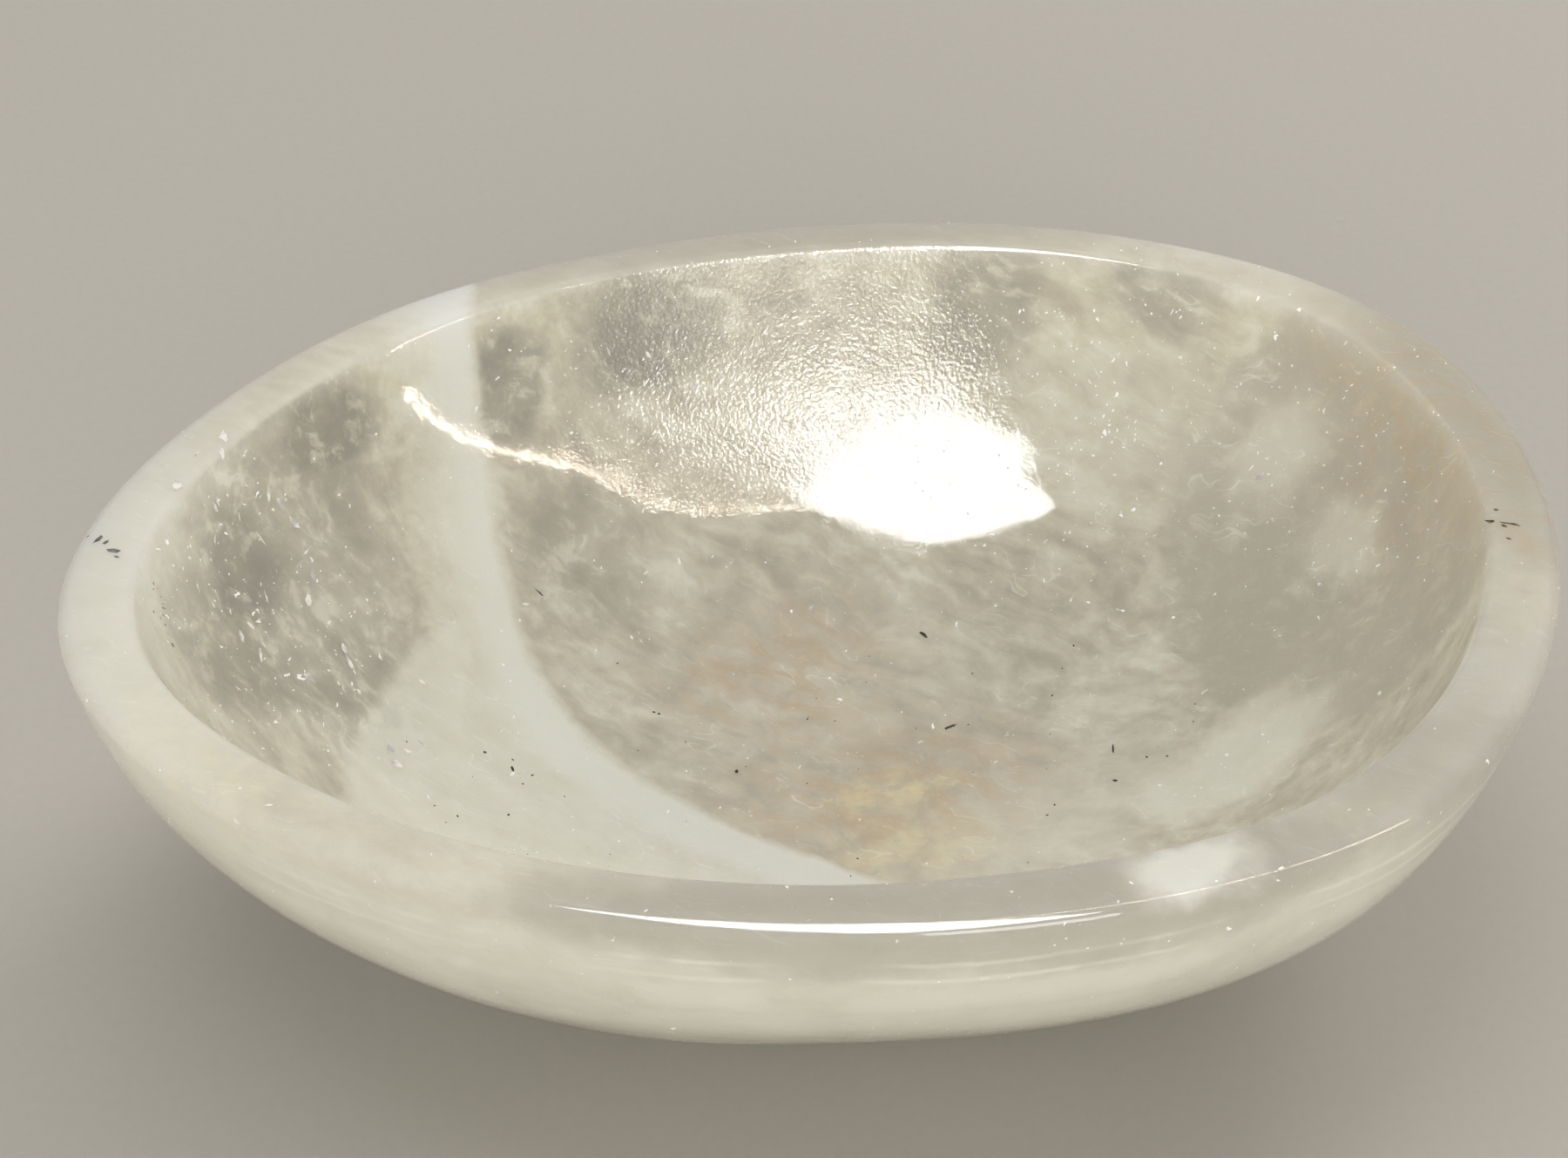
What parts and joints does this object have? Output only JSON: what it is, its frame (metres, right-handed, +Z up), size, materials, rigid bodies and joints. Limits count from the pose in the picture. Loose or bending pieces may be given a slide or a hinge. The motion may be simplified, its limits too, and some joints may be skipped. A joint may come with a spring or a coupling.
{
  "type": "quartz singing bowl",
  "caption": "Hand-carved oval bowl of polished milky quartz, with a thick flat lip, a smooth hollow and a small flat base.",
  "frame": {"origin": "centre of the oval's bounding box, on the plane of the flat base the bowl stands on", "axes": "+Z up out of the hollow, +X along the longer extent of the oval towards its blunter end, +Y across it"},
  "size_m": [0.1517, 0.1214, 0.046],
  "materials": {
    "milky_quartz": "polished",
    "dark_mineral": "satin"
  },
  "bodies": {
    "root": {"quartz_bowl": "milky_quartz", "rim_grains": "dark_mineral", "lip_pocket_fill": "dark_mineral", "floor_needles": "dark_mineral"}
  },
  "joints": []
}
